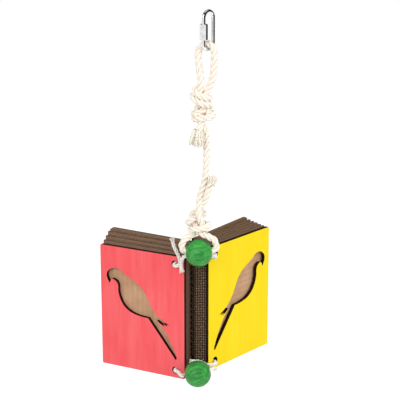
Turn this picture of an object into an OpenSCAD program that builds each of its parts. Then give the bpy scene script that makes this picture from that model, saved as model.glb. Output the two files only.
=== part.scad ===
// Hanging chew toy for birds: a book of corrugated cardboard leaves between two plywood covers,
// threaded on two ring cords and hung by a knotted cotton rope from a quick link.
// Millimetres. The origin is the inner top of the quick link, where a hook or bar carries it,
// +Z is up and the spine of the book faces -Y.

/* [Covers] */
// Width of a cover beyond that of a leaf
cover_extra_w = 1; // [0:0.5:3]
// Height of a cover beyond that of a leaf
cover_extra_h = 0.5; // [0:0.5:2]
// Thickness of the plywood
cover_t = 4; // [2.5:0.5:6]
// Radius of a cover's corners
cover_corner_r = 1.2; // [0.5:0.1:4]
// Diameter of the cord holes in a cover
cover_hole_d = 7.8; // [7.6:0.1:10]
// Cord hole to the top or bottom edge of a cover
cover_hole_edge = 8.5; // [8:0.1:9]
// Length of the parrot cut-out, from crown to tail tip
parrot_length = 90; // [50:1:92]
// Cut-out's centre, out from the middle of the cover
parrot_out = 0.5; // [-3:0.5:3]
// Cut-out's centre, down from the middle of the cover
parrot_down = 1; // [-4:0.5:4]

/* [Cardboard leaves] */
// Width of a leaf
leaf_w = 98; // [94:1:120]
// Height of a leaf
leaf_h = 133; // [130:1:170]
// Thickness of the corrugated board
leaf_t = 2.9; // [2.7:0.1:3.1]
// Thickness of each flat liner sheet
liner_t = 0.4; // [0.3:0.05:0.6]
// Thickness of the wavy sheet between the liners
flute_wall = 0.4; // [0.3:0.05:0.5]
// Length of one wave
flute_pitch = 6; // [5:0.25:8]
// Diameter of the cord holes in a leaf
leaf_hole_d = 11.4; // [11.2:0.1:12]
// Cord hole to the top or bottom edge of a leaf
leaf_hole_edge = 9.5; // [9.3:0.1:9.7]
// Air between neighbouring leaves at the spine
leaf_gap = 0.25; // [0.2:0.05:0.4]
// Cord holes to the spine edge, leaves and covers alike
hole_from_spine = 10.5; // [10.2:0.1:10.8]
// Crushed fore corner of the two innermost leaves, along the top edge
worn_corner_w = 3; // [2:0.5:10]
// The same corner, down the fore edge
worn_corner_h = 2; // [1:0.5:8]

/* [Opening of the book] */
// Angle of the red cover behind the spine
red_cover_angle = 27; // [20:1:32]
// Fan between the red cover and its innermost leaf
red_fan = 3; // [2:0.5:6]
// Angle of the yellow cover behind the spine
yellow_cover_angle = 49; // [48:1:54]
// Fan between the yellow cover and its innermost leaf
yellow_fan = 5.4; // [3:0.2:8]

/* [Beads] */
// Diameter of both beads
bead_d = 27.5; // [24:0.5:30]
// Bore of the top bead, which holds the rope and a cord
top_bore_d = 11.8; // [11.6:0.1:13.5]
// Bore of the bottom bead
bottom_bore_d = 8; // [5:0.5:12]
// Lean of the bottom bead's bore, down towards the red cover
bottom_bead_lean = 12; // [8:1:16]
// Break of the bore's edges
bore_edge = 0.8; // [0.2:0.1:1.2]

/* [Rope and cords] */
// Diameter of the hanging rope
rope_d = 7; // [5.6:0.1:7.1]
// Diameter of the two ring cords
ring_cord_d = 4; // [3.2:0.1:4.1]

/* [Quick link] */
// Diameter of the link's wire
link_wire_d = 3.5; // [3:0.1:4]
// Outer length of the link
link_length = 40.2; // [39.5:0.1:42]
// Outer width of the link
link_width = 16; // [15:0.5:20]
// Turn of the link about the vertical
link_turn = 44; // [0:1:60]
// Mouth between the two ends of the wire
link_mouth = 3.8; // [3:0.1:3.8]
// Length of the sleeve nut
nut_length = 15.2; // [12:0.2:16]
// Width of the sleeve nut across its flats
nut_flats = 6.8; // [6:0.1:8]
// Radial clearance of the nut on the wire
nut_clearance = 0.06; // [0.03:0.01:0.1]
// Rise of the closed nut above the lower bend
nut_rise = 3.6; // [2:0.1:4.5]
// Thread of the lower stub that the closed nut grips
nut_grip = 1.6; // [1:0.1:1.6]

/* [Hidden] */

card = "#8f6d54";
card_dark = "#7d5d47";
cotton = "#f1e4d0";
stain_red = "#f7696c";
stain_yellow = "#fddb20";
stain_green = "#41964a";
steel = "#c9ccd0";

cover_w = leaf_w + cover_extra_w;
cover_h = leaf_h + cover_extra_h;

// Every page turns about one upright axis, the inner corner of the spine.
spine_axis = [-16.6, 28.6];
// Height of each page's top edge, innermost leaf first and cover last.
red_tops = [-236, -239.4, -242.9, -246.4, -249.5];
yellow_tops = [-233.6, -236.4, -237.3, -238, -238.7, -239.3, -239.6];
page_pitch = leaf_t + leaf_gap;
// The innermost leaves' corners all but meet on the spine axis.
fold_gap = 0.05;
red_step = red_fan / (len(red_tops) - 1);
yellow_step = yellow_fan / (len(yellow_tops) - 1);

top_bead_at = [-9.1, 0, -239.8];
bottom_bead_at = [-10.3, 0, -237.7 - leaf_h];
bead_seat = 0.3;
rope_in_bore = top_bead_at[2] + (top_bore_d - rope_d) / 2 - bead_seat;
cord_in_bore = top_bead_at[2] - (top_bore_d - ring_cord_d) / 2 + bead_seat;
// A place on the cord that carries the bottom bead, so far along its leaning bore
function in_bottom_bore(along) = bottom_bead_at
    + along * [cos(bottom_bead_lean), 0, sin(bottom_bead_lean)]
    + ((bottom_bore_d - ring_cord_d) / 2 - bead_seat)
        * [-sin(bottom_bead_lean), 0, cos(bottom_bead_lean)];

link_bend_r = (link_width - link_wire_d) / 2;
link_top_bend = link_wire_d / 2 - link_bend_r;
link_bottom_bend = link_top_bend - (link_length - link_width);
nut_bottom = link_bottom_bend + nut_rise;
rope_on_link = link_bottom_bend - link_bend_r + link_wire_d / 2 + rope_d / 2 + 0.25;

// Routes of the rope and the cords, chosen by hand along the middle of each.
top_loop_route = [[-4.2, 0, -74.5], [-6, 0.5, -67.5], [-8.5, 2, -55], [-9.8, 3, -43],
    [-9.2, 3.2, -35.5], [-5.4, 2.5, -31], [-0.8, 0.4, rope_on_link], [2.7, -1.6, -30],
    [4.5, -2.6, -32.4], [5.3, -3.1, -35.4], [5.8, -3, -43], [5, -2, -54.5], [2.8, -0.5, -67.5], [1.5, 0, -74.5]];
frayed_end_route = [[-7.2, -3.1, -102], [-8.8, -3, -110], [-10.2, -2.6, -118], [-11, -2, -130.5]];
frayed_end_width = [rope_d, rope_d + 0.3, rope_d + 3.5, rope_d + 6];
standing_route = [[-2.9, 2.7, -102], [-2.2, 2.5, -118], [-1.7, 2.5, -133], [-1.7, 1.8, -149],
    [-2.8, 1.5, -162], [-6, 1.5, -175], [-12, 1, -195]];
tail_route = [[-4.8, -1.5, -195], [-2.4, -2.3, -184], [1, -2.3, -172.5], [3.9, -2.3, -165.5],
    [4.7, -2.3, -159.5]];
tail_width = [rope_d, rope_d, rope_d, rope_d + 0.8, rope_d + 1.5];
bead_loop_route = [[-16.5, 0, -214], [-22.5, 0, -223.5], [-26, 0, -231], [-26, 0, -235.5],
    [-23, 0, rope_in_bore], [-9, 0, rope_in_bore], [4.5, 0, rope_in_bore],
    [8, 0, -235], [8, 0, -230.5], [4.5, 0, -223], [-2, 0, -214]];
top_cord_route = [[-35.5, 14, -231.5], [-34.4, 13, -236.8], [-32, 12.6, -242.3],
    [-29.2, 12.4, -248.5], [-28.3, 12.6, -254.3], [-29.8, 12.8, -257.2], [-32.8, 14, -258.2],
    [-34.2, 16.6, -258], [-33.5, 18.4, -257.4], [-31.6, 22.2, -256.8], [-28.5, 28.8, -248.8],
    [-25.8, 33.6, -244.2], [-23.2, 37.2, -243.2], [-18, 40, -242.8], [-12.6, 38.8, -243.1], [-8, 35.4, -244],
    [-1.3, 29.9, -246.3], [4.6, 24.2, -247.2], [7.6, 21.4, -248.8], [7.8, 17.6, -249.6],
    [7.2, 11.5, -248.6], [6.6, 4.5, -245.2], [5, 0.7, cord_in_bore], [2.5, 0, cord_in_bore],
    [-20.5, 0, cord_in_bore], [-23.8, 1.2, -244], [-26, 4.6, -248.2], [-27.2, 7.4, -253.5],
    [-27, 8.4, -260.5]];
// The bottom cord's points are set down one leaf's height above their place.
function lowered(points) = [for (p = points) p - [0, 0, leaf_h]];
bottom_cord_route = concat(
    lowered([[-17, 17.6, -231], [-11, 17.6, -230.4], [-6, 15.8, -230.4], [-2.2, 12.2, -230.8],
        [2.2, 10.6, -232], [5.8, 13, -233], [8.4, 17.4, -233.4], [7.7, 21.3, -233.2],
        [4.7, 24.2, -233], [-1.3, 29.9, -230.4], [-8, 35.4, -227], [-12.6, 38.6, -226.2],
        [-18, 40, -225.8], [-23.2, 37.4, -225.8], [-25.8, 33.6, -226.3], [-28.6, 28.3, -232.3],
        [-30.1, 25.4, -235.9], [-31.6, 22.5, -240.2], [-33.6, 18.3, -240.8], [-33.6, 15.4, -240.6], [-30.3, 12.3, -241], [-28.2, 8.5, -242.2],
        [-26.4, 4, -241.4], [-24.9, 0.8, -239.4]]),
    [in_bottom_bore(-12), in_bottom_bore(12)],
    lowered([[4, 0.8, -233.1], [6.2, 4, -233.6], [7.2, 8.2, -235.4]]));

// Outline of the bird, measured on one cover from its middle: x out from the spine, y up.
// Each run is a smooth curve, and the runs meet at the bird's points and notches.
bird_length = 90;
bird_front = [[38.2, 26.3], [41.5, 32.3], [41.2, 38.6], [34.5, 43.8], [26.5, 43.6], [20, 38.8],
    [6.5, 32], [-2.5, 23.8], [-9.5, 10.8], [-15.5, 2.3], [-22.5, -3.7], [-33, -8.8]];
bird_wing = [[-33, -8.8], [-28.6, -8.2], [-30.8, -10.6], [-25.4, -8.6], [-27.2, -11.4],
    [-22.4, -9], [-18, -6]];
bird_tail = [[-18, -6], [-26, -14.3], [-34.5, -28.5], [-41, -43], [-39.5, -45.8]];
bird_belly = [[-39.5, -45.8], [-24, -26], [-7.5, -5.2]];
bird_breast = [[-7.5, -5.2], [0.5, -4.8], [11.5, -2.6], [20, 2.4], [25.5, 10.2], [28, 18.8],
    [28.2, 25.8], [31, 30.2], [36, 31.4], [38.2, 26.3]];

function unit(v) = v / norm(v);
// A curve through the points of one run, with n steps from each point to the next
function curve(p, n) = [for (i = [0 : len(p) - 2]) for (k = [0 : n - 1])
    let (t = k / n, a = p[max(i - 1, 0)], b = p[i], c = p[i + 1], d = p[min(i + 2, len(p) - 1)])
    0.5 * (2 * b + (c - a) * t + (2 * a - 5 * b + 4 * c - d) * t * t
        + (3 * b - a - 3 * c + d) * t * t * t)];
bird_outline = concat(curve(bird_front, 3), curve(bird_wing, 1), curve(bird_tail, 2),
    curve(bird_belly, 1), curve(bird_breast, 3));

function tangent(p, i) = unit(
    (i < len(p) - 1 ? unit(p[i + 1] - p[i]) : [0, 0, 0])
    + (i > 0 ? unit(p[i] - p[i - 1]) : [0, 0, 0]));
// The side vector of each ring, carried along the route so that the tube doesn't twist
function sides_of(p) = [for (i = 0, s = cross(tangent(p, 0), [0.3, 1, 0.1]); i < len(p);
    i = i + 1, s = i < len(p) ? s - (s * tangent(p, i)) * tangent(p, i) : s) unit(s)];

// A tube along a route, with a diameter at each of its points
module tube(p, d, n) {
    side = sides_of(p);
    points = [for (i = [0 : len(p) - 1]) for (k = [0 : n - 1])
        p[i] + d[i] / 2 * (cos(360 * k / n) * side[i]
            + sin(360 * k / n) * cross(tangent(p, i), side[i]))];
    walls = [for (i = [0 : len(p) - 2]) for (k = [0 : n - 1])
        [i * n + k, (i + 1) * n + k, (i + 1) * n + (k + 1) % n, i * n + (k + 1) % n]];
    start = [[for (k = [0 : n - 1]) k]];
    finish = [[for (k = [n - 1 : -1 : 0]) (len(p) - 1) * n + k]];
    polyhedron(points, concat(walls, start, finish));
}
module even_tube(p, d, n) tube(p, [for (q = p) d], n);

// One wrap of a knot: a ring of rope, leaning
module wrap(at, lean, r) translate(at) rotate(lean)
    rotate_extrude($fn = 12) translate([r, 0]) circle(d = rope_d, $fn = 8);

// A page stands in its own frame: x from the spine to the fore edge, y from its outer face
// at 0 to its inner face, z down from 0. place_page puts it round the spine axis.
module place_page(left, number, angle, top, t)
    translate([spine_axis[0], spine_axis[1], top]) mirror([left ? 1 : 0, 0, 0]) rotate([0, 0, angle])
        translate([0, -fold_gap - number * page_pitch - t, 0]) children();

module cord_holes(h, edge, d, t) for (z = [-edge, edge - h])
    translate([hole_from_spine, -1, z]) rotate([-90, 0, 0]) cylinder(d = d, h = t + 2, $fn = 48);

module rounded_sheet(w, h, r, t) translate([0, t, -h]) rotate([90, 0, 0]) linear_extrude(t) union() {
    translate([r, 0]) square([w - 2 * r, h]);
    translate([0, r]) square([w, h - 2 * r]);
    for (x = [r, w - r], y = [r, h - r]) translate([x, y]) circle(r = r, $fn = 32);
}

module cover() difference() {
    rounded_sheet(cover_w, cover_h, cover_corner_r, cover_t);
    cord_holes(cover_h, cover_hole_edge, cover_hole_d, cover_t);
    translate([cover_w / 2 + parrot_out, cover_t + 1, -cover_h / 2 - parrot_down]) rotate([90, 0, 0])
        linear_extrude(cover_t + 2) scale(parrot_length / bird_length) polygon(bird_outline);
}

// The board's section: two liners with a wavy sheet between them, whose channels stay open.
// length runs along the waves and the wall's flats touch the liners.
module board_section(length) {
    core = leaf_t - 2 * liner_t;
    flat = 0.7;
    lean = (core - flute_wall);
    foot = (flute_pitch / 2 - flat * (1 + flute_wall / lean) - 1.4 * flute_wall)
        / (1 - flute_wall / lean);
    count = floor((length - 1.2) / flute_pitch);
    start = (length - count * flute_pitch) / 2;
    channels = [for (i = [0 : count - 1]) let (a = start + (i + 0.25) * flute_pitch,
            b = start + (i + 0.75) * flute_pitch, low = liner_t, high = leaf_t - liner_t)
        each [[[low, a - foot], [low, a + foot], [high - flute_wall, a + flat],
                [high - flute_wall, a - flat]],
            [[high, b - foot], [low + flute_wall, b - flat], [low + flute_wall, b + flat],
                [high, b + foot]]]];
    rim = [[0, 0], [leaf_t, 0], [leaf_t, length], [0, length]];
    polygon(concat(rim, [for (c = channels) each c]),
        [for (k = [0 : len(channels)]) [for (j = [0 : 3]) 4 * k + j]]);
}

module leaf(upright_flutes = false, worn = false) difference() {
    if (upright_flutes) translate([0, 0, -leaf_h]) linear_extrude(leaf_h) mirror([1, -1, 0])
        board_section(leaf_w);
    else translate([0, 0, -leaf_h]) rotate([90, 0, 90]) linear_extrude(leaf_w) board_section(leaf_h);
    cord_holes(leaf_h, leaf_hole_edge, leaf_hole_d, leaf_t);
    if (worn) translate([leaf_w, -1, 0]) rotate([-90, 0, 0]) linear_extrude(leaf_t + 2)
        polygon([[-worn_corner_w, -1], [-worn_corner_w, 0], [0, worn_corner_h], [1, worn_corner_h],
            [1, -1]]);
}

module red_page(k) place_page(true, k, red_cover_angle + red_fan - k * red_step, red_tops[k],
    k < len(red_tops) - 1 ? leaf_t : cover_t) children();
module yellow_page(k) place_page(false, k, yellow_cover_angle + yellow_fan - k * yellow_step,
    yellow_tops[k], k < len(yellow_tops) - 1 ? leaf_t : cover_t) children();

module red_cover() color(stain_red) red_page(4) cover();
module red_leaf_1() color(card) red_page(3) leaf(upright_flutes = true);
module red_leaf_2() color(card_dark) red_page(2) leaf(upright_flutes = true);
module red_leaf_3() color(card) red_page(1) leaf();
module red_leaf_4() color(card_dark) red_page(0) leaf(worn = true);
module yellow_cover() color(stain_yellow) yellow_page(6) cover();
module yellow_leaf_1() color(card) yellow_page(5) leaf();
module yellow_leaf_2() color(card_dark) yellow_page(4) leaf();
module yellow_leaf_3() color(card) yellow_page(3) leaf();
module yellow_leaf_4() color(card_dark) yellow_page(2) leaf();
module yellow_leaf_5() color(card) yellow_page(1) leaf();
module yellow_leaf_6() color(card_dark) yellow_page(0) leaf(worn = true);

module bead(at, bore_d, lean) {
    mouth = sqrt(pow(bead_d, 2) - pow(bore_d, 2)) / 2;
    translate(at) rotate([0, 90 - lean, 0]) difference() {
        sphere(d = bead_d, $fn = 96);
        translate([0, 0, -bead_d]) cylinder(d = bore_d, h = 2 * bead_d, $fn = 48);
        for (s = [0, 1]) mirror([0, 0, s]) translate([0, 0, mouth - bore_edge])
            cylinder(d1 = bore_d, d2 = bore_d + 4 * bore_edge, h = 2 * bore_edge, $fn = 48);
    }
}
module top_bead() color(stain_green) bead(top_bead_at, top_bore_d, 0);
module bottom_bead() color(stain_green) bead(bottom_bead_at, bottom_bore_d, bottom_bead_lean);

module link_bend(z, up) translate([0, 0, z]) mirror([0, 0, up ? 0 : 1]) rotate([90, 0, 0])
    rotate_extrude(angle = 180, $fn = 96) translate([link_bend_r, 0])
        circle(d = link_wire_d, $fn = 32);
module link_leg(x, low, high) translate([x, 0, low])
    cylinder(d = link_wire_d, h = high - low, $fn = 32);

// The wire is open on the nut's leg: the nut grips the lower stub and bridges the mouth.
module quick_link() color(steel) rotate([0, 0, link_turn]) {
    link_bend(link_top_bend, true);
    link_bend(link_bottom_bend, false);
    link_leg(link_bend_r, link_bottom_bend, link_top_bend);
    link_leg(-link_bend_r, link_bottom_bend, nut_bottom + nut_grip);
    link_leg(-link_bend_r, nut_bottom + nut_grip + link_mouth, link_top_bend);
}

module quick_link_nut() color(steel) rotate([0, 0, link_turn])
    translate([-link_bend_r, 0, nut_bottom]) difference() {
        intersection() {
            rotate([0, 0, 20]) cylinder(d = nut_flats / cos(30), h = nut_length, $fn = 6);
            rotate_extrude($fn = 64) polygon([[0, 0], [nut_flats / 2, 0],
                [nut_flats / 2 + 0.8, 0.8], [nut_flats / 2 + 0.8, nut_length - 0.8],
                [nut_flats / 2, nut_length], [0, nut_length]]);
        }
        translate([0, 0, -1])
            cylinder(d = link_wire_d + 2 * nut_clearance, h = nut_length + 2, $fn = 32);
    }

module rope_top_loop() color(cotton) even_tube(top_loop_route, rope_d, 10);
module rope_frayed_end() color(cotton) tube(frayed_end_route, frayed_end_width, 10);
module rope_standing_part() color(cotton) even_tube(standing_route, rope_d, 10);
module rope_tail() color(cotton) tube(tail_route, tail_width, 10);
module rope_bead_loop() color(cotton) even_tube(bead_loop_route, rope_d, 10);
module top_ring_cord() color(cotton) even_tube(top_cord_route, ring_cord_d, 8);
module bottom_ring_cord() color(cotton) even_tube(bottom_cord_route, ring_cord_d, 8);

module rope_upper_knot() color(cotton) {
    translate([-4.5, 0, -105]) cylinder(d = 1.8 * rope_d, h = 32, $fn = 12);
    wrap([-7, 0, -80.5], [14, -38, 0], 6.2);
    wrap([-4.5, 0, -89], [-12, 14, 0], 7.6);
    wrap([-5, 0, -98.5], [10, 4, 0], 8.4);
}
module rope_lower_knot() color(cotton) {
    translate([-9, 0, -217.5]) cylinder(d = 2 * rope_d, h = 25, $fn = 12);
    wrap([-9.5, 0, -199], [8, -14, 0], 7.8);
    wrap([-9.5, 0, -208.5], [-10, 8, 0], 9.6);
    wrap([-9.5, 0, -213.5], [6, -5, 0], 8.6);
}

quick_link();
quick_link_nut();
rope_top_loop();
rope_upper_knot();
rope_frayed_end();
rope_standing_part();
rope_tail();
rope_lower_knot();
rope_bead_loop();
top_bead();
bottom_bead();
top_ring_cord();
bottom_ring_cord();
red_cover();
red_leaf_1();
red_leaf_2();
red_leaf_3();
red_leaf_4();
yellow_leaf_6();
yellow_leaf_5();
yellow_leaf_4();
yellow_leaf_3();
yellow_leaf_2();
yellow_leaf_1();
yellow_cover();
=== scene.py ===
import bpy
import math
import random

import numpy as np
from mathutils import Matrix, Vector, kdtree


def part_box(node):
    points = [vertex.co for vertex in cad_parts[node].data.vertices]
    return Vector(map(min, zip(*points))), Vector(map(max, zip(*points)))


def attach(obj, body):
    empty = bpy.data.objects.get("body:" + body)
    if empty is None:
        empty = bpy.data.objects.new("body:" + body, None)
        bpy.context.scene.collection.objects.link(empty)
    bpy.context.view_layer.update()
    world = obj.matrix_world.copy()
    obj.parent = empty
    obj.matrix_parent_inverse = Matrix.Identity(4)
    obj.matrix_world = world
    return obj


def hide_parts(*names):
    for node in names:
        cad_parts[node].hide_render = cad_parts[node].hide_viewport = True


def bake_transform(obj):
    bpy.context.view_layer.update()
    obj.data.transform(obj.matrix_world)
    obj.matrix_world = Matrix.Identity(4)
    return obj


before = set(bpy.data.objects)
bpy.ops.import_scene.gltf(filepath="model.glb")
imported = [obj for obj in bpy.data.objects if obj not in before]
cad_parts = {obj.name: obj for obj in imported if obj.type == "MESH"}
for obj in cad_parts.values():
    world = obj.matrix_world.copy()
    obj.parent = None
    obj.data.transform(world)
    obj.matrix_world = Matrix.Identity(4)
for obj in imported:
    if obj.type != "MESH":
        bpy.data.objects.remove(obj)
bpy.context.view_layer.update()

bpy.ops.object.select_all(action="DESELECT")


# Camera

def put_up_camera():
    """The photograph's view: level with the toy and 16 degrees down on it, from 1.3 m."""
    bpy.ops.object.camera_add(location=(-0.008, -1.2356, 0.1696), rotation=(math.radians(74), 0, 0))
    camera = bpy.context.object
    camera.name = "photo_camera"
    camera.data.sensor_width = 36
    camera.data.lens = 117
    camera.data.clip_start = 0.05
    camera.data.clip_end = 30
    bpy.context.scene.camera = camera
    bpy.context.scene.view_settings.view_transform = "Standard"


def mm(points):
    """Route points written in millimetres, given back in metres."""
    return [tuple(c / 1000 for c in p) for p in points]


put_up_camera()

# The hanging rope, from its frayed end through the link and the top bead to its cut end

FRAYED_END = mm([(-11.3, -2.4, -128), (-11, -2.6, -121), (-10.2, -2.8, -116)])
LINK_EYE = mm([
    (-7.0, 0.4, -66), (-8.5, 2, -55), (-9.8, 3, -43), (-9.2, 3.2, -35.5), (-5.4, 2.5, -31),
    (-0.8, 0.4, -29.45), (2.7, -1.6, -30), (4.5, -2.6, -32.4), (5.3, -3.1, -35.4), (5.8, -3, -43),
    (5, -2, -54.5), (3.2, -0.6, -66)])
STANDING_PART = mm([
    (-2.4, 2.5, -116), (-1.8, 2.5, -124), (-1.7, 2.5, -133), (-1.7, 1.8, -149), (-2.8, 1.5, -162),
    (-5.4, 1.5, -173), (-7.8, 1.4, -181)])
BEAD_LOOP = mm([
    (-24, 0, -226.5), (-26, 0, -231), (-26, 0, -235.5), (-23, 0, -237.7), (-16, 0, -237.7), (-9, 0, -237.7),
    (-2, 0, -237.7), (4.5, 0, -237.7), (8, 0, -235), (8, 0, -230.5), (6, 0, -226)])
CUT_END = mm([(-1.6, -2.3, -181), (1.0, -2.3, -172.5), (2.9, -2.3, -168)])

# The ring cords: each is one cord, drawn in three lengths

TOP_RING_RED = mm([
    (-18, 40, -242.8), (-23.2, 37.2, -243.2), (-25.8, 33.6, -244.2), (-28.5, 28.8, -248.8),
    (-31.6, 22.2, -256.8), (-33.5, 18.4, -257.4), (-34.2, 16.6, -258), (-32.8, 14, -258.2),
    (-29.8, 12.8, -257.2), (-28.3, 12.6, -254.3), (-29.2, 12.4, -248.5), (-32, 12.6, -242.3),
    (-34.4, 13, -236.8), (-35.5, 14, -231.5)])
TOP_RING_YELLOW = mm([
    (-18, 40, -242.8), (-12.6, 38.8, -243.1), (-8, 35.4, -244), (-1.3, 29.9, -246.3), (4.6, 24.2, -247.2),
    (7.6, 21.4, -248.8), (7.8, 17.6, -249.6), (7.2, 11.5, -248.6), (6.6, 4.5, -245.2), (5, 0.7, -243.4),
    (2.5, 0, -243.4), (-4, 0, -243.4), (-12, 0, -243.4)])
TOP_RING_KNOT = mm([
    (-12, 0, -243.4), (-16, 0, -243.4), (-20.5, 0, -243.4), (-23.8, 1.2, -244), (-26, 4.6, -248.2),
    (-27.2, 7.4, -253.5), (-27, 8.4, -260.5)])
LEAN = (math.cos(math.radians(12)), math.sin(math.radians(12)))
BOTTOM_BEAD_MM = (-10.3, 0, -370.7)


def in_bottom_bore(along):
    """A point in the bottom bead's leaning bore, that far from its middle, with the cord lying at the top."""
    raised = 1.7
    return (BOTTOM_BEAD_MM[0] + along * LEAN[0] - raised * LEAN[1], 0,
            BOTTOM_BEAD_MM[2] + along * LEAN[1] + raised * LEAN[0])


BOTTOM_RING_RED = mm([
    (-18, 40, -358.8), (-23.2, 37.4, -358.8), (-25.8, 33.6, -359.3), (-28.6, 28.3, -365.3),
    (-30.1, 25.4, -368.9), (-31.6, 22.5, -373.2), (-33.6, 18.3, -373.8), (-33.6, 15.4, -373.6),
    (-30.3, 12.3, -374), (-28.2, 8.5, -375.2), (-26.4, 4, -374.4), (-24.9, 0.8, -372.4)])
BOTTOM_RING_MIDDLE = mm([
    in_bottom_bore(-12), in_bottom_bore(-6), in_bottom_bore(0), in_bottom_bore(6), in_bottom_bore(12),
    (4, 0.8, -366.1), (6.2, 4, -366.6), (7.2, 8.2, -368.4)])
BOTTOM_RING_YELLOW = mm([
    (-18, 40, -358.8), (-12.6, 38.6, -359.2), (-8, 35.4, -360), (-1.3, 29.9, -363.4), (4.7, 24.2, -366),
    (7.7, 21.3, -366.2), (8.4, 17.4, -366.4), (5.8, 13, -366), (2.2, 10.6, -365.5), (-2.2, 12.2, -365.2),
    (-6, 15.8, -364.6), (-11, 17.6, -364.2), (-17, 17.6, -364.4)])


def even_route(points, step):
    """One smooth curve through the points, cut into even steps."""
    p = np.array([points[0]] + list(points) + [points[-1]], float)
    p[0] = 2 * p[1] - p[2]
    p[-1] = 2 * p[-2] - p[-3]
    fine = []
    for i in range(1, len(p) - 2):
        p0, p1, p2, p3 = p[i - 1], p[i], p[i + 1], p[i + 2]
        d1, d2, d3 = (max(np.linalg.norm(b - a), 1e-6) ** 0.5 for a, b in ((p0, p1), (p1, p2), (p2, p3)))
        m1 = d2 * ((p1 - p0) / d1 - (p2 - p0) / (d1 + d2) + (p2 - p1) / d2)
        m2 = d2 * ((p2 - p1) / d2 - (p3 - p1) / (d2 + d3) + (p3 - p2) / d3)
        for t in np.linspace(0, 1, 24, endpoint=False):
            fine.append((2 * t**3 - 3 * t**2 + 1) * p1 + (t**3 - 2 * t**2 + t) * m1
                        + (3 * t**2 - 2 * t**3) * p2 + (t**3 - t**2) * m2)
    fine.append(p[-2])
    return respace(np.array(fine), step)


def respace(line, step):
    """The same line with its points an even step apart."""
    gone = np.concatenate([[0], np.cumsum(np.linalg.norm(np.diff(line, axis=0), axis=1))])
    count = max(2, int(round(gone[-1] / step)) + 1)
    at = np.linspace(0, gone[-1], count)
    return np.stack([np.interp(at, gone, line[:, k]) for k in range(3)], axis=1)


def tie_knot(first, second, thick, turn, mirror, roll, rounds):
    """An overhand knot in the doubled rope, tied loose and then pulled tight between its four fixed ends.

    first and second give each line's top and low end; each round draws the lines shorter and presses
    turns that meet a rope's width apart. The two settled lines come back, each from its top to its low end.
    """
    step = 0.0016
    t = np.linspace(-2.28, 2.28, 500)
    core = np.stack([t**3 - 3 * t, mirror * (t**4 - 4 * t**2 + 1), 0.3 * (10 * t - t**5)], axis=1) * 0.0062
    c, s = math.cos(turn), math.sin(turn)
    core = core @ np.array([[c, s, 0], [-s, c, 0], [0, 0, 1]])
    if core[0, 2] < core[-1, 2]:
        core = core[::-1]
    way, one, two = along_frames(core)
    aside = one * math.cos(roll) + two * math.sin(roll)
    middle = np.array([first, second]).reshape(4, 3).mean(axis=0)
    lines = [respace(np.concatenate([[ends[0]], core + middle + aside * (shift * thick), [ends[1]]]), step)
             for ends, shift in ((first, -0.55), (second, 0.55))]
    near = 2.2 * thick / step
    for _ in range(rounds):
        count = len(lines[0])
        points = np.concatenate(lines)
        held = np.ones((len(points), 1))
        held[[0, count - 1, count, -1]] = 0
        for _ in range(3):
            tree = kdtree.KDTree(len(points))
            for i, p in enumerate(points):
                tree.insert(p, i)
            tree.balance()
            push = np.zeros_like(points)
            for i, p in enumerate(points):
                met = 0
                for q, j, gap in tree.find_range(p, thick):
                    if gap > 1e-7 and ((i < count) != (j < count) or abs(i - j) > near):
                        push[i] += (p - np.array(q)) * ((thick - gap) / gap)
                        met += 1
                push[i] /= max(met, 1)
            points = points + push * held * 0.5
            even = (points[:-2] + points[2:]) / 2 - points[1:-1]
            points[1:-1] += even * held[1:-1] * 0.5
        lines = [respace(points[:count], step), respace(points[count:], step)]
    return lines


def seat_knot(lines, wider, taller, to, above, below):
    """Scale a tied knot about its middle, move it to its place, and cut its lines just above and below it."""
    seated = []
    for line in lines:
        high = np.nonzero(line[:, 2] < above / taller)[0][0]
        low = np.nonzero(line[:, 2] > -below / taller)[0][-1]
        seated.append(line[high:low + 1] * (wider, 1.0, taller) + np.array(to))
    return seated


def join_lines(*parts, step=0.0008):
    """One even, smooth line through the end of each part and the start of the next."""
    points = [parts[0][0]]
    for part in parts:
        points += list(respace(np.array(part), 0.004)[1:-1]) if len(part) > 12 else list(part)
    return even_route([tuple(p) for p in points[1:]], step)


def along_frames(line):
    """At each point of a line: its direction and two level directions that don't spin about it."""
    way = np.gradient(line, axis=0)
    way /= np.linalg.norm(way, axis=1)[:, None]
    side = np.cross(way[0], (0.3, 0.9, 0.2))
    sides = []
    for w in way:
        side = side - w * side.dot(w)
        side = side / np.linalg.norm(side)
        sides.append(side)
    sides = np.array(sides)
    return way, sides, np.cross(way, sides)


def tube_faces(rings, around, start):
    """Quads that join ring after ring, with both ends closed."""
    faces = []
    for i in range(rings - 1):
        for k in range(around):
            a, b = start + i * around + k, start + i * around + (k + 1) % around
            faces.append((a, b, b + around, a + around))
    faces.append(tuple(start + k for k in reversed(range(around))))
    faces.append(tuple(start + (rings - 1) * around + k for k in range(around)))
    return faces


def make_piece(name, points, faces, hollow, lengthwise, round_about):
    """A mesh piece with a UV map along and around the thread, and how deep each point lies in the lay."""
    mesh = bpy.data.meshes.new(name)
    mesh.from_pydata([tuple(p) for p in points], [], faces)
    depth = mesh.attributes.new("depth", "FLOAT", "POINT")
    depth.data.foreach_set("value", np.asarray(hollow, "f"))
    uv = mesh.uv_layers.new(name="thread")
    corner = np.zeros(len(mesh.loops), int)
    mesh.loops.foreach_get("vertex_index", corner)
    pair = np.stack([np.asarray(lengthwise)[corner], np.asarray(round_about)[corner]], axis=1)
    uv.data.foreach_set("uv", pair.ravel().astype("f"))
    mesh.polygons.foreach_set("use_smooth", [True] * len(mesh.polygons))
    mesh.validate()
    piece = bpy.data.objects.new(name, mesh)
    bpy.context.collection.objects.link(piece)
    return piece


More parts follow.
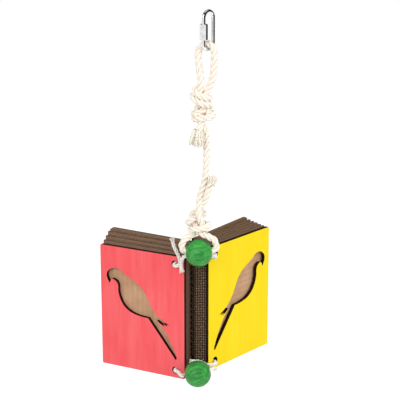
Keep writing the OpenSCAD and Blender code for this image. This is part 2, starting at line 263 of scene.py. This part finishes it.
def laid_rope(name, line, thick, lay, around, yarns, open_start=0.0, open_end=0.0, pressed=()):
    """Three strands laid right-handed round a line, each strand ribbed by its own yarns."""
    way, one, two = along_frames(line)
    gone = np.concatenate([[0], np.cumsum(np.linalg.norm(np.diff(line, axis=0), axis=1))])
    long = gone[-1]
    spread = np.ones(len(line))
    if open_start:
        spread += 0.75 * np.clip(1 - gone / open_start, 0, 1) ** 1.6
    if open_end:
        spread += 0.6 * np.clip(1 - (long - gone) / open_end, 0, 1) ** 1.6
    tight = np.ones(len(line))
    for low, high in pressed:
        tight -= 0.05 * np.clip((np.minimum(line[:, 2] - low, high - line[:, 2]) + 0.004) / 0.006, 0, 1)
    strand, helix = 0.238 * thick * tight, 0.262 * thick * tight
    points, faces, deep, lengthwise, round_about = [], [], [], [], []
    for s in range(3):
        turn = 2 * math.pi * (gone / lay + s / 3)
        out = np.cos(turn)[:, None] * one + np.sin(turn)[:, None] * two
        middle = line + out * (helix * spread)[:, None]
        run = np.gradient(middle, axis=0)
        run /= np.linalg.norm(run, axis=1)[:, None]
        out = out - run * (out * run).sum(1)[:, None]
        out /= np.linalg.norm(out, axis=1)[:, None]
        cross = np.cross(run, out)
        start = len(points)
        yarn_turn = -gone * (2 * math.pi / (0.86 * lay))
        for i in range(len(line)):
            for k in range(around):
                a = 2 * math.pi * k / around + yarn_turn[i]
                rib = 1 + (0.05 * math.cos(yarns * 2 * math.pi * k / around) if yarns else 0)
                flat = 1 - 0.07 * max(0.0, -math.cos(a))
                r = strand[i] * rib * flat * (1 + 0.03 * math.sin(gone[i] * 410 + 2.1 * s))
                points.append(middle[i] + r * (math.cos(a) * out[i] + math.sin(a) * cross[i]))
                # depth runs from 0 where the strand turns into the lay to 1 on its outside; the cotton finish
                # paints shade from it
                deep.append(0.5 + 0.5 * math.cos(a))
                lengthwise.append(gone[i] / 0.01)
                round_about.append(k / around + s)
        faces += tube_faces(len(line), around, start)
    return make_piece(name, points, faces, deep, lengthwise, round_about)


def loose_threads(name, root, heading, count, long, mouth, opening, thick, seed, waves):
    """A brush of loose yarns or fibres: each a thin, wavy, tapering thread that is closed at both ends."""
    rows, sides = 7, 4
    chance = random.Random(seed)
    heading = Vector(heading).normalized()
    one = heading.orthogonal().normalized()
    two = heading.cross(one)
    points, faces, deep, lengthwise, round_about = [], [], [], [], []
    for n in range(count):
        r, a = mouth * math.sqrt(chance.random()), chance.uniform(0, 2 * math.pi)
        start = Vector(root) + one * (r * math.cos(a)) + two * (r * math.sin(a))
        lean = opening * (r / mouth) ** 0.8 * chance.uniform(0.6, 1.25)
        way = heading + one * (lean * math.cos(a)) + two * (lean * math.sin(a))
        size = long * chance.uniform(0.72, 1.04)
        wave = Vector([chance.uniform(-1, 1) for _ in range(3)]) * 0.055 * size * waves
        beat = chance.uniform(1.2, 2.6)
        first = len(points)
        width = thick * chance.uniform(0.75, 1.2)
        for i in range(rows):
            t = i / (rows - 1)
            here = start + way.normalized() * (size * t)
            here += wave * math.sin(beat * math.pi * t) * t
            r_here = width * (1 - 0.35 * t) * (0.35 if i == rows - 1 else 1)
            for k in range(sides):
                b = 2 * math.pi * k / sides + 0.9 * i * 0.2
                points.append(here + one * (r_here * math.cos(b)) + two * (r_here * math.sin(b)))
                deep.append(0.75 + 0.25 * (r / mouth))
                lengthwise.append(t * size / 0.01)
                round_about.append(k / sides)
        faces += tube_faces(rows, sides, first)
    return make_piece(name, points, faces, deep, lengthwise, round_about)


ROPE = 0.007
ROPE_LAY = 0.0205
PULLED_THIN = 0.0058
KNOT_ROUNDS = 300
# The heights between which the rope is pulled tight in a knot
KNOTS = [(-0.109, -0.073), (-0.219, -0.192)]
# In the seated knots the rope's turns press into each other, most in the upper two
tied = tie_knot(((-0.0062, 0.0005, 0.024), (-0.0030, 0.0010, -0.024)),
                ((0.0045, -0.0005, 0.024), (0.0030, -0.0010, -0.024)),
                PULLED_THIN, math.radians(60), -1, 0.0, KNOT_ROUNDS)
first_upper = seat_knot(tied, 0.98, 1.0, (-0.0036, 0, -0.0850), 0.011, 0.0085)
tied = tie_knot(((-0.0030, 0.0010, 0.024), (-0.0050, -0.0028, -0.024)),
                ((0.0030, -0.0010, 0.024), (0.0020, 0.0026, -0.024)),
                PULLED_THIN, math.radians(150), 1, math.pi, KNOT_ROUNDS)
second_upper = seat_knot(tied, 0.92, 0.85, (-0.0078, 0, -0.0993), 0.0065, 0.0105)
tied = tie_knot(((-0.0040, 0.0013, 0.024), (-0.0080, 0, -0.024)),
                ((0.0030, -0.0023, 0.024), (0.0080, 0, -0.024)),
                PULLED_THIN, math.radians(150), 1, math.pi, KNOT_ROUNDS)
lower_knot = seat_knot(tied, 1.20, 1.06, (-0.0130, 0, -0.2105), 0.013, 0.0115)
rope_line = join_lines(FRAYED_END, second_upper[0][::-1], first_upper[0][::-1], LINK_EYE, first_upper[1],
                       second_upper[1], STANDING_PART, lower_knot[0], BEAD_LOOP, lower_knot[1][::-1], CUT_END)
for _ in range(6):
    rope_line[1:-1] += ((rope_line[:-2] + rope_line[2:]) / 2 - rope_line[1:-1]) * 0.6
rope = laid_rope("hanging_rope", rope_line, ROPE, ROPE_LAY, 18, 6, open_start=0.012, open_end=0.006,
                 pressed=KNOTS)
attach(rope, "hanger")
FRAY_DOWN, FRAY_UP = (-0.09, 0.0, -1), (0.25, 0.0, 1)
frayed_brush = loose_threads("frayed_end_yarns", (-0.0100, -0.0026, -0.1125), FRAY_DOWN, 56, 0.0168,
                             0.0040, 0.36, 0.00100, 11, 0.8)
frayed_wisps = loose_threads("frayed_end_fibres", (-0.0095, -0.0026, -0.1135), FRAY_DOWN, 70, 0.0178,
                             0.0044, 0.44, 0.00018, 12, 1.4)
cut_brush = loose_threads("cut_end_yarns", (0.0024, -0.0015, -0.1685), FRAY_UP, 46, 0.0092,
                          0.0033, 0.32, 0.00110, 13, 0.8)
cut_wisps = loose_threads("cut_end_fibres", (0.0024, -0.0015, -0.1685), FRAY_UP, 50, 0.0102,
                          0.0036, 0.45, 0.00018, 14, 1.4)
for piece in (frayed_brush, frayed_wisps, cut_brush, cut_wisps):
    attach(piece, "hanger")
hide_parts("rope_top_loop", "rope_upper_knot", "rope_frayed_end", "rope_standing_part", "rope_tail",
            "rope_lower_knot", "rope_bead_loop")

RING = 0.004
RING_LAY = 0.0115


def ring_cord(name, points, node, far_end, to_body=None, start=None, end=None):
    """One length of a ring cord, three strands as the rope is."""
    line = even_route(points, 0.0006)
    cord = laid_rope(name, line, RING, RING_LAY, 12, 0)
    if to_body:
        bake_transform(cord)
    else:
        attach(cord, "hanger")
    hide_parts(node)
    return cord


RED_RAMP = dict(start=(-0.0200, 0, 0), end=(-0.0258, 0, 0))
YELLOW_RAMP = dict(start=(0.0152 * 0.737, 0.0152 * 0.677, 0), end=(0.0176 * 0.737, 0.0176 * 0.677, 0))
KNOT_RAMP = dict(start=(-0.0215, 0.0006, -0.2436), end=(-0.0262, 0.0060, -0.2436))
TOP, BOTTOM, RED, YELLOW = "top_ring_cord", "bottom_ring_cord", "red_leaf_4", "yellow_leaf_6"
ring_cords = [
    ring_cord("top_ring_red_side", TOP_RING_RED, TOP, "bare", RED, **RED_RAMP),
    ring_cord("top_ring_yellow_side", TOP_RING_YELLOW, TOP, "object", YELLOW, **YELLOW_RAMP),
    ring_cord("top_ring_knot_side", TOP_RING_KNOT, TOP, "bare", RED, **KNOT_RAMP),
    ring_cord("bottom_ring_red_side", BOTTOM_RING_RED, BOTTOM, "object", RED, **RED_RAMP),
    ring_cord("bottom_ring_in_bead", BOTTOM_RING_MIDDLE, BOTTOM, "bare"),
    ring_cord("bottom_ring_yellow_side", BOTTOM_RING_YELLOW, BOTTOM, "bare", YELLOW, **YELLOW_RAMP)]
ring_ends = [
    ("top_tail_fray", (-0.0353, 0.0137, -0.2325), (-0.25, 0.1, 1), 0.0052, 21, RED),
    ("top_end_fray", (-0.0270, 0.0083, -0.2596), (0.35, -0.1, -1), 0.0042, 22, RED),
    ("bottom_bead_fray", (0.0068, 0.0072, -0.3680), (0.4, 0.5, -0.4), 0.0034, 23, "hanger"),
    ("bottom_knot_fray", (-0.0160, 0.0176, -0.3643), (-1, 0.1, 0.1), 0.0034, 24, YELLOW)]
ring_frays = []
for name, root, heading, long, seed, body in ring_ends:
    fray = loose_threads(name, root, heading, 22, long, 0.0017, 0.42, 0.00034, seed, 1.0)
    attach(fray, body)
    ring_frays.append(fray)

# The upright line, seen from above, about which every page turns
FOLD = (-0.0166, 0.0286)
FOLD_GAP = 0.00005
LEAF_LONG = 0.098
LEAF_THICK = 0.0029
PAGE_PITCH = 0.00315
FLUTE_PITCH = 0.006
# The flecks on the spine stand for flute ends seen edge on; the near black between them is painted shade for
# the flute openings.
# They are closer than the solid's own waves
FLECK_PITCH = 0.0028
PLY_THICK = 0.00135
SMOKE_STRIP = 0.00135
UPRIGHT_FLUTES = ("red_leaf_1", "red_leaf_2")
TOP_BEAD = (-0.0091, 0.0, -0.2398)
BEAD_MOUTH = 0.0041


def fold_shadow_rod():
    """A thin near-black rod along the fold, where the inmost corners of the two stacks meet: a painted shadow
    for the deep gap there.
    """
    bpy.ops.mesh.primitive_cylinder_add(vertices=8, radius=0.00046, depth=0.1310,
                                        location=(FOLD[0] - 0.00032, FOLD[1] - 0.00016, -0.3155))
    shadow_rod = bpy.context.object
    shadow_rod.name = "fold_shadow_rod"
    bpy.ops.object.mode_set(mode="EDIT")
    bpy.ops.mesh.select_all(action="SELECT")
    bpy.ops.mesh.subdivide(number_cuts=7)
    bpy.ops.transform.vertex_random(offset=0.00006, seed=31)
    bpy.ops.object.mode_set(mode="OBJECT")
    bpy.ops.object.transform_apply(location=True, rotation=True, scale=True)
    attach(shadow_rod, "red_leaf_4")
    return shadow_rod


def turned_bead():
    """The top bead as a rounder ball than the solid's: the rope and the cord cut into its narrower mouths."""
    bpy.ops.mesh.primitive_uv_sphere_add(segments=64, ring_count=48, radius=0.01375, location=TOP_BEAD,
                                         rotation=(0, math.pi / 2, 0))
    ball = bpy.context.object
    ball.name = "top_bead_turned"
    bpy.ops.object.transform_apply(location=True, rotation=True, scale=True)
    for parts in (ball.data.vertices, ball.data.edges, ball.data.polygons):
        parts.foreach_set("select", [False] * len(parts))
    for vertex in ball.data.vertices:
        vertex.select = math.hypot(vertex.co.y - TOP_BEAD[1], vertex.co.z - TOP_BEAD[2]) < BEAD_MOUTH
    bpy.ops.object.mode_set(mode="EDIT")
    bpy.ops.mesh.delete(type="VERT")
    bpy.ops.mesh.select_all(action="SELECT")
    bpy.ops.mesh.region_to_loop()
    bpy.ops.mesh.bridge_edge_loops()
    bpy.ops.mesh.select_all(action="SELECT")
    bpy.ops.mesh.normals_make_consistent(inside=False)
    bpy.ops.object.mode_set(mode="OBJECT")
    bpy.ops.object.shade_smooth_by_angle(angle=math.radians(40))
    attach(ball, "hanger")
    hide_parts("top_bead")
    return ball


# Shader maths

class Val:
    """A shader value; sums, products and comparisons on it add Math nodes to its own material."""

    def __init__(self, finish, socket):
        self.finish, self.socket = finish, socket

    def maths(self, operation, *others, clamp=False):
        node = self.finish.tree.nodes.new("ShaderNodeMath")
        node.operation, node.use_clamp = operation, clamp
        for slot, value in zip(node.inputs, others):
            self.finish.feed(slot, value)
        return Val(self.finish, node.outputs[0])

    def __add__(self, other): return self.maths("ADD", self, other)
    def __radd__(self, other): return self.maths("ADD", other, self)
    def __sub__(self, other): return self.maths("SUBTRACT", self, other)
    def __rsub__(self, other): return self.maths("SUBTRACT", other, self)
    def __mul__(self, other): return self.maths("MULTIPLY", self, other)
    def __rmul__(self, other): return self.maths("MULTIPLY", other, self)
    def __neg__(self): return self.maths("MULTIPLY", self, -1)
    def size(self): return self.maths("ABSOLUTE", self)
    def wave(self): return self.maths("SINE", self)
    def most(self, other): return self.maths("MAXIMUM", self, other)
    def held(self): return self.maths("ADD", self, 0, clamp=True)
    def rise(self, low, high): return ((self - low) * (1 / (high - low))).held()


class Finish:
    """One material under construction."""

    def __init__(self, name, tree=None):
        if tree is None:
            self.material = bpy.data.materials.new(name)
            self.material.use_nodes = True
            tree = self.material.node_tree
        self.tree = tree
        self.tree.nodes.clear()

    def feed(self, socket, value):
        if isinstance(value, Val):
            self.tree.links.new(value.socket, socket)
        elif value is not None:
            socket.default_value = value

    def node(self, kind, settings=None, sockets=None, out=0):
        """Add a node: its settings first, then its sockets by name or number."""
        node = self.tree.nodes.new(kind)
        for key, value in (settings or {}).items():
            setattr(node, key, value)
        for key, value in (sockets or {}).items():
            if isinstance(key, int):
                self.feed(node.inputs[key], value)
            else:
                self.feed(next(s for s in node.inputs if s.name == key and s.enabled), value)
        return Val(self, node.outputs[out]) if node.outputs else None

    def place(self): return self.node("ShaderNodeTexCoord", out="Object")
    def facing(self): return self.node("ShaderNodeTexCoord", out="Normal")

    def dot(self, vector, other):
        return self.node("ShaderNodeVectorMath", {"operation": "DOT_PRODUCT"}, {0: vector, 1: other},
                         out="Value")

    def glint(self):
        """Whether the ray has come by way of a reflection or through glass."""
        through = self.node("ShaderNodeLightPath", out="Is Transmission Ray")
        return self.node("ShaderNodeLightPath", out="Is Glossy Ray").most(through)

    def join(self, x, y, z): return self.node("ShaderNodeCombineXYZ", None, {"X": x, "Y": y, "Z": z})

    def noise(self, vector, scale, detail, rough):
        return self.node("ShaderNodeTexNoise", None,
                         {"Vector": vector, "Scale": scale, "Detail": detail, "Roughness": rough})

    def mix(self, share, first, second):
        return self.node("ShaderNodeMix", {"data_type": "RGBA"}, {"Factor": share, "A": first, "B": second},
                         out=2)

    def bump(self, height, strength, distance):
        return self.node("ShaderNodeBump", None,
                         {"Strength": strength, "Distance": distance, "Height": height})

    def surface(self, **sockets):
        """The one shader of the finish, on the material's output."""
        names = {"colour": "Base Color", "rough": "Roughness", "metal": "Metallic", "normal": "Normal",
                 "sheen": "Sheen Weight", "specular": "Specular IOR Level", "coat": "Coat Weight",
                 "coat_rough": "Coat Roughness"}
        shader = self.node("ShaderNodeBsdfPrincipled", None, {names[k]: v for k, v in sockets.items()})
        self.node("ShaderNodeOutputMaterial", None, {"Surface": shader})
        return self.material


def tint(r, g, b):
    """A colour read off as 0 to 255, as the shader needs it."""
    def plain(c):
        c /= 255
        return c / 12.92 if c <= 0.04045 else ((c + 0.055) / 1.055) ** 2.4
    return (plain(r), plain(g), plain(b), 1.0)


def cotton(name, pale, dark):
    """Twisted cotton: yarns that run along each strand, with shade painted darker down in the lay, and a soft
    matt nap.
    """
    f = Finish(name)
    thread = f.node("ShaderNodeTexCoord", out="UV")
    depth = f.node("ShaderNodeAttribute", {"attribute_name": "depth"}, out="Fac")
    split = f.node("ShaderNodeSeparateXYZ", None, {0: thread}, out="X")
    around = Val(f, split.socket.node.outputs["Y"])
    fibre = f.noise(f.join(split * 1.6, around * 42, 0.0), 1.0, 4.0, 0.6)
    blotch = f.noise(f.place(), 160.0, 3.0, 0.5)
    # painted shade: darker where a strand turns down into the lay, from the depth attribute, mixed with real
    # fibre and blotch tone
    shade = (depth.rise(0.05, 0.75) * 0.75 + fibre * 0.35 + (blotch - 0.5) * 0.5).held()
    colour = f.mix(shade, dark, pale)
    height = fibre * 0.7 + blotch * 0.3
    return f.surface(colour=colour, rough=fibre * 0.12 + 0.82, normal=f.bump(height, 0.5, 0.0004), sheen=0.25,
                     specular=0.2)


def stained_plywood(name, main, deep, light, out_way, front, seed):
    """Stained plywood: upright grain under thin stain on both faces, and laser-burnt plies on every edge."""
    f = Finish(name)
    p, n = f.place(), f.facing()
    across, through = f.dot(p, out_way), f.dot(p, front)
    up = f.dot(p, (0, 0, 1))
    face = f.dot(n, front).size().rise(0.55, 0.85)
    broad = f.noise(f.join(across * 85, through * 40 + seed, up * 9), 1.0, 3.0, 0.5)
    grain = f.noise(f.join(across * 520, through * 100 + seed, up * 22), 1.0, 4.0, 0.6)
    fine = f.noise(f.join(across * 2600, through * 300, up * 90 + seed), 1.0, 2.0, 0.5)
    cloud = f.noise(f.join(across * 28, seed * 1.0, up * 20), 1.0, 4.0, 0.55)
    stain = f.mix(broad.rise(0.3, 0.72), light, main)
    stain = f.mix((grain.rise(0.48, 0.8) * 0.45 + cloud.rise(0.45, 0.75) * 0.4).held(), stain, deep)
    plies = (through * (2 * math.pi / PLY_THICK)).wave().rise(-0.6, 0.8)
    char = f.noise(f.join(across * 300, through * 900, up * 300), 1.0, 3.0, 0.6)
    burnt = f.mix((plies * 0.35 + char * 0.5).held(), tint(14, 6, 4), tint(52, 27, 17))
    colour = f.mix(face, burnt, stain)
    height = (grain * 0.55 + fine * 0.45) * face + (plies * 0.5 + char * 0.5) * (1 - face)
    return f.surface(colour=colour, rough=grain * 0.12 + 0.56 + (1 - face) * 0.2,
                     normal=f.bump(height, 0.35, 0.00018), specular=0.2)


def kraft_card(name, out_way, front, upright, seed, low, high, rim_dark, back, lit):
    """Corrugated card: kraft liner with faint flute lines painted as the shade of its washboard, scorch on
    cut edges and smoke beside them, and painted shade in the spine's flute openings and deep in the fold.
    """
    f = Finish(name)
    p, n = f.place(), f.facing()
    across, through = f.dot(p, out_way), f.dot(p, front)
    up = f.dot(p, (0, 0, 1))
    liner = f.dot(n, front).size().rise(0.75, 0.93)
    pulp = f.noise(f.join(across * 420, through * 420, up * 900 + seed), 1.0, 5.0, 0.65)
    cloud = f.noise(f.join(across * 60, through * 30, up * 60 + seed), 1.0, 3.0, 0.5)
    speck = f.noise(f.join(across * 2400, seed * 1.0, up * 2400), 1.0, 1.0, 0.5)
    # painted shade: faint lines at the flute pitch stand for the shade of the liner's washboard ripples;
    # below, they share one darker colour with the pulp's real specks
    line = ((across if upright else up) * (2 * math.pi / FLUTE_PITCH)).wave()
    paper = f.mix((pulp * 0.55 + cloud * 0.45).rise(0.3, 0.72), tint(188, 142, 106), tint(224, 184, 150))
    paper = f.mix((line * 0.5 + 0.5) * 0.16 + speck.rise(0.66, 0.8) * 0.3, paper, tint(150, 110, 80))
    soot = f.noise(f.join(across * 700, through * 2200, up * 700), 1.0, 3.0, 0.6)
    drift = f.noise(f.join(across * 110, seed * 1.0, up * 260), 1.0, 3.0, 0.6)
    end = across - (FOLD[0] * out_way[0] + FOLD[1] * out_way[1])
    rim = up.rise(high - 0.0085, high - 0.0050).most(1 - up.rise(low + 0.0030, low + 0.0060))
    rim = rim.most(end.rise(LEAF_LONG - 0.0045, LEAF_LONG - 0.0015)).most(1 - end.rise(0.0030, 0.0060))
    strips = ((high - up) * (2 * math.pi / SMOKE_STRIP) + drift * 5).wave().rise(-0.5, 0.9)
    smoked = f.mix((strips * 0.55 + drift * 0.5).held(), rim_dark[0], rim_dark[1])
    paper = f.mix((rim * (drift * 0.3 + 0.8)).held(), paper, smoked)
    inside = through - (FOLD[0] * front[0] + FOLD[1] * front[1]) - back
    liners = ((inside - LEAF_THICK / 2).size()).rise(LEAF_THICK / 2 - 0.00075, LEAF_THICK / 2 - 0.00045)
    bare = f.mix((liners * 0.75 + soot.rise(0.35, 0.7) * 0.35).held(), tint(84, 60, 45), lit)
    scorch_and_shade = f.mix(soot.rise(0.62, 0.8) * 0.6, bare, tint(24, 12, 8))
    spine = (-f.dot(n, out_way)).rise(0.55, 0.85) * (1.0 if out_way[0] > 0 else 0.0)
    # painted shade: near black between the pale flecks on the yellow side's spine faces, for the dark flute
    # openings
    flecks_amid_hole_shade = ((up + back * 0.6) * (2 * math.pi / FLECK_PITCH) + drift * 1.5).wave().rise(0.05, 0.85)
    scorch_and_shade = f.mix(spine * (1 - flecks_amid_hole_shade) * 0.95, scorch_and_shade, tint(12, 7, 5))
    scorch_and_shade = f.mix(spine * flecks_amid_hole_shade * liners * 0.9, scorch_and_shade, tint(214, 184, 152))
    # painted shade: the innermost leaves go near black close to the fold, for the deep shade in the valley
    # between the stacks
    fold_shade = (1 - end.rise(0.002, 0.006)) * (1 - (inside + back).rise(0.0024, 0.0052))
    scorch_and_shade = f.mix(fold_shade, scorch_and_shade, tint(7, 4, 2))
    colour = f.mix(liner, scorch_and_shade, paper)
    height = (pulp * 0.6 + line * 0.25) * liner + soot * (1 - liner)
    return f.surface(colour=colour, rough=pulp * 0.1 + 0.82, normal=f.bump(height, 0.3, 0.0002), specular=0.2)


def charred_lip():
    """Near black, crumbly and matt: the painted shadow of the rod in the fold."""
    f = Finish("charred_lip")
    crumb = f.noise(f.place(), 2600.0, 4.0, 0.6)
    colour = f.mix(crumb.rise(0.35, 0.7), tint(8, 4, 3), tint(34, 23, 16))
    return f.surface(colour=colour, rough=crumb * 0.1 + 0.85, normal=f.bump(crumb, 0.6, 0.0001), specular=0.2)


def stained_bead(name, middle, bore, seed):
    """A turned hardwood bead: green stain that takes unevenly along the grain, under a thin satin lacquer."""
    f = Finish(name)
    p = f.place()
    along = f.dot(p, bore) - sum(a * b for a, b in zip(middle, bore))
    round_one = f.dot(p, (0, 1, 0)) - middle[1]
    round_two = f.dot(p, (-bore[2], 0, bore[0])) - (-bore[2] * middle[0] + bore[0] * middle[2])
    streak = f.noise(f.join(along * 45, round_one * 420 + seed, round_two * 420), 1.0, 4.0, 0.6)
    cloud = f.noise(f.join(along * 90, round_one * 130 + seed, round_two * 130), 1.0, 3.0, 0.5)
    pore = f.noise(f.join(along * 260, round_one * 2600 + seed, round_two * 2600), 1.0, 2.0, 0.5)
    stain = f.mix(streak.rise(0.3, 0.72), tint(8, 112, 38), tint(78, 192, 84))
    stain = f.mix(cloud.rise(0.4, 0.75) * 0.55, stain, tint(12, 96, 32))
    stain = f.mix(pore.rise(0.62, 0.8) * 0.5, stain, tint(14, 70, 30))
    return f.surface(colour=stain, rough=streak * 0.12 + 0.44,
                     normal=f.bump(streak * 0.5 + pore * 0.5, 0.16, 0.00012),
                     coat=0.12, coat_rough=0.3, specular=0.35)


def plated_steel(name, seed):
    """Bright zinc plate over drawn steel wire: hard reflections, fine draw lines and a few duller patches."""
    f = Finish(name)
    p = f.place()
    x, y, z = f.dot(p, (1, 0, 0)), f.dot(p, (0, 1, 0)), f.dot(p, (0, 0, 1))
    draw = f.noise(f.join(x * 5200, y * 5200, z * 320 + seed), 1.0, 2.0, 0.5)
    dull = f.noise(p, 330.0, 4.0, 0.6)
    colour = f.mix(dull.rise(0.35, 0.75), tint(240, 240, 241), tint(214, 213, 213))
    return f.surface(colour=colour, metal=1.0, rough=0.07 + dull * 0.07, normal=f.bump(draw, 0.03, 0.00002))


def dress(node, material):
    """Give a CAD node's own object its finish."""
    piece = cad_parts[node]
    piece.data.materials.clear()
    piece.data.materials.append(material)


rope_cotton = cotton("natural_cotton_rope", tint(253, 244, 232), tint(241, 225, 205))
cord_cotton = cotton("natural_cotton_cord", tint(253, 249, 243), tint(206, 194, 178))
loose_cotton = cotton("loose_cotton_yarn", tint(255, 248, 234), tint(248, 234, 212))
for piece in (rope, frayed_brush, frayed_wisps, cut_brush, cut_wisps):
    piece.data.materials.append(rope_cotton if piece is rope else loose_cotton)
for piece in ring_cords + ring_frays:
    piece.data.materials.append(cord_cotton)

RED_TURNS = {"red_cover": 27.0, "red_leaf_1": 27.75, "red_leaf_2": 28.5, "red_leaf_3": 29.25,
             "red_leaf_4": 30.0}
YELLOW_TURNS = {"yellow_cover": 49.0, "yellow_leaf_1": 49.9, "yellow_leaf_2": 50.8, "yellow_leaf_3": 51.7,
                "yellow_leaf_4": 52.6, "yellow_leaf_5": 53.5, "yellow_leaf_6": 54.4}
# Each side's smoked rim from dark to pale, its liners' cut edges, and its number of leaves
RED_CARD = ((tint(66, 47, 36), tint(172, 138, 113)), tint(128, 104, 86), 4)
YELLOW_CARD = ((tint(34, 22, 14), tint(158, 124, 92)), tint(168, 138, 112), 6)


def page_ways(turn, side):
    """A page's way out from the spine, and the way its outer face looks."""
    a = math.radians(turn)
    return (side * math.cos(a), math.sin(a), 0.0), (side * math.sin(a), -math.cos(a), 0.0)


for node, turn in {**RED_TURNS, **YELLOW_TURNS}.items():
    side = -1 if node.startswith("red") else 1
    out_way, front = page_ways(turn, side)
    seed = turn % 7
    if node == "red_cover":
        finish = stained_plywood("red_stained_plywood", tint(249, 88, 92), tint(243, 70, 78),
                                 tint(252, 114, 118), out_way, front, seed)
    elif node == "yellow_cover":
        finish = stained_plywood("yellow_stained_plywood", tint(255, 223, 12), tint(252, 212, 6),
                                 tint(255, 228, 34), out_way, front, seed)
    else:
        low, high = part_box(node)
        smoke, lit, leaves = RED_CARD if side < 0 else YELLOW_CARD
        back = FOLD_GAP + (leaves - int(node[-1])) * PAGE_PITCH
        finish = kraft_card("kraft_card_" + node, out_way, front, node in UPRIGHT_FLUTES, seed,
                            low[2], high[2], smoke, back, lit)
    dress(node, finish)
# a near-black rod in the fold stands for the shadow there
fold_shadow = fold_shadow_rod()
fold_shadow.data.materials.append(charred_lip())
top_ball = turned_bead()
top_ball.data.materials.append(stained_bead("green_stain_top", TOP_BEAD, (1, 0, 0), 1.3))
dress("bottom_bead", stained_bead("green_stain_bottom", (-0.0103, 0, -0.3707), (LEAN[0], 0, LEAN[1]), 7.9))
dress("quick_link", plated_steel("plated_wire", 2.0))
dress("quick_link_nut", plated_steel("plated_nut", 5.0))


# Floor, world and lamps

def lay_floor():
    """A pale floor well below the toy; the camera sees it close to white, and it keeps the toy's shadow."""
    bpy.ops.mesh.primitive_plane_add(size=3.4, location=(0, 1.0, -0.62))
    floor = bpy.context.object
    floor.name = "pale_floor"
    f = Finish("pale_floor")
    seen = f.node("ShaderNodeLightPath", out="Is Camera Ray")
    glint = f.glint()
    grain = f.noise(f.place(), 9.0, 3.0, 0.5)
    pale = f.mix(grain, tint(205, 204, 202), tint(212, 211, 210))
    matt = f.node("ShaderNodeBsdfDiffuse", None, {"Color": pale})
    glow = f.node("ShaderNodeEmission", None, {"Color": (1, 1, 1, 1), "Strength": seen.most(glint) * 0.62})
    both = f.node("ShaderNodeAddShader", None, {0: matt, 1: glow})
    f.node("ShaderNodeOutputMaterial", None, {"Surface": both})
    floor.data.materials.append(f.material)


def light_world():
    """White where the camera looks; a soft even light elsewhere; bright and dark panels for the metal."""
    world = bpy.data.worlds.new("studio")
    bpy.context.scene.world = world
    world.use_nodes = True
    f = Finish("studio", world.node_tree)
    way = f.node("ShaderNodeTexCoord", out="Generated")
    seen = f.node("ShaderNodeLightPath", out="Is Camera Ray")
    glint = f.glint()
    window = f.dot(way, (-0.82, -0.57, 0.0)).rise(0.62, 0.80)
    window = window.most(f.dot(way, (-0.80, 0.58, -0.15)).rise(0.88, 0.95))
    ceiling = f.dot(way, (0, 0, 1)).rise(0.80, 0.97) * 0.9
    front = f.dot(way, (-0.12, -0.95, -0.28)).rise(0.86, 0.94)
    behind = f.dot(way, (0.25, 0.96, 0)).rise(0.90, 0.97) * 0.25
    panels = window.most(ceiling).most(behind).most(front) * 0.97 + 0.03
    strength = seen.most(glint * panels).most((1 - seen.most(glint)) * 0.70)
    back = f.node("ShaderNodeBackground", None, {"Color": (1, 1, 1, 1), "Strength": strength})
    f.node("ShaderNodeOutputWorld", None, {"Surface": back})


def hang_lamp(name, at, size, power):
    """A soft box of that size in metres and power in watts, turned to the toy."""
    bpy.ops.object.light_add(type="AREA", location=at)
    lamp = bpy.context.object
    lamp.name = name
    lamp.data.size = size
    lamp.data.energy = power
    lamp.rotation_euler = (Vector((0, 0, -0.2)) - Vector(at)).to_track_quat("-Z", "Y").to_euler()
    return lamp


lay_floor()
light_world()
hang_lamp("key_soft_box", (-0.9, -1.5, 0.75), 0.9, 13)
hang_lamp("fill_soft_box", (1.3, -1.1, 0.3), 1.2, 12).visible_glossy = False

bpy.ops.object.select_all(action="DESELECT")
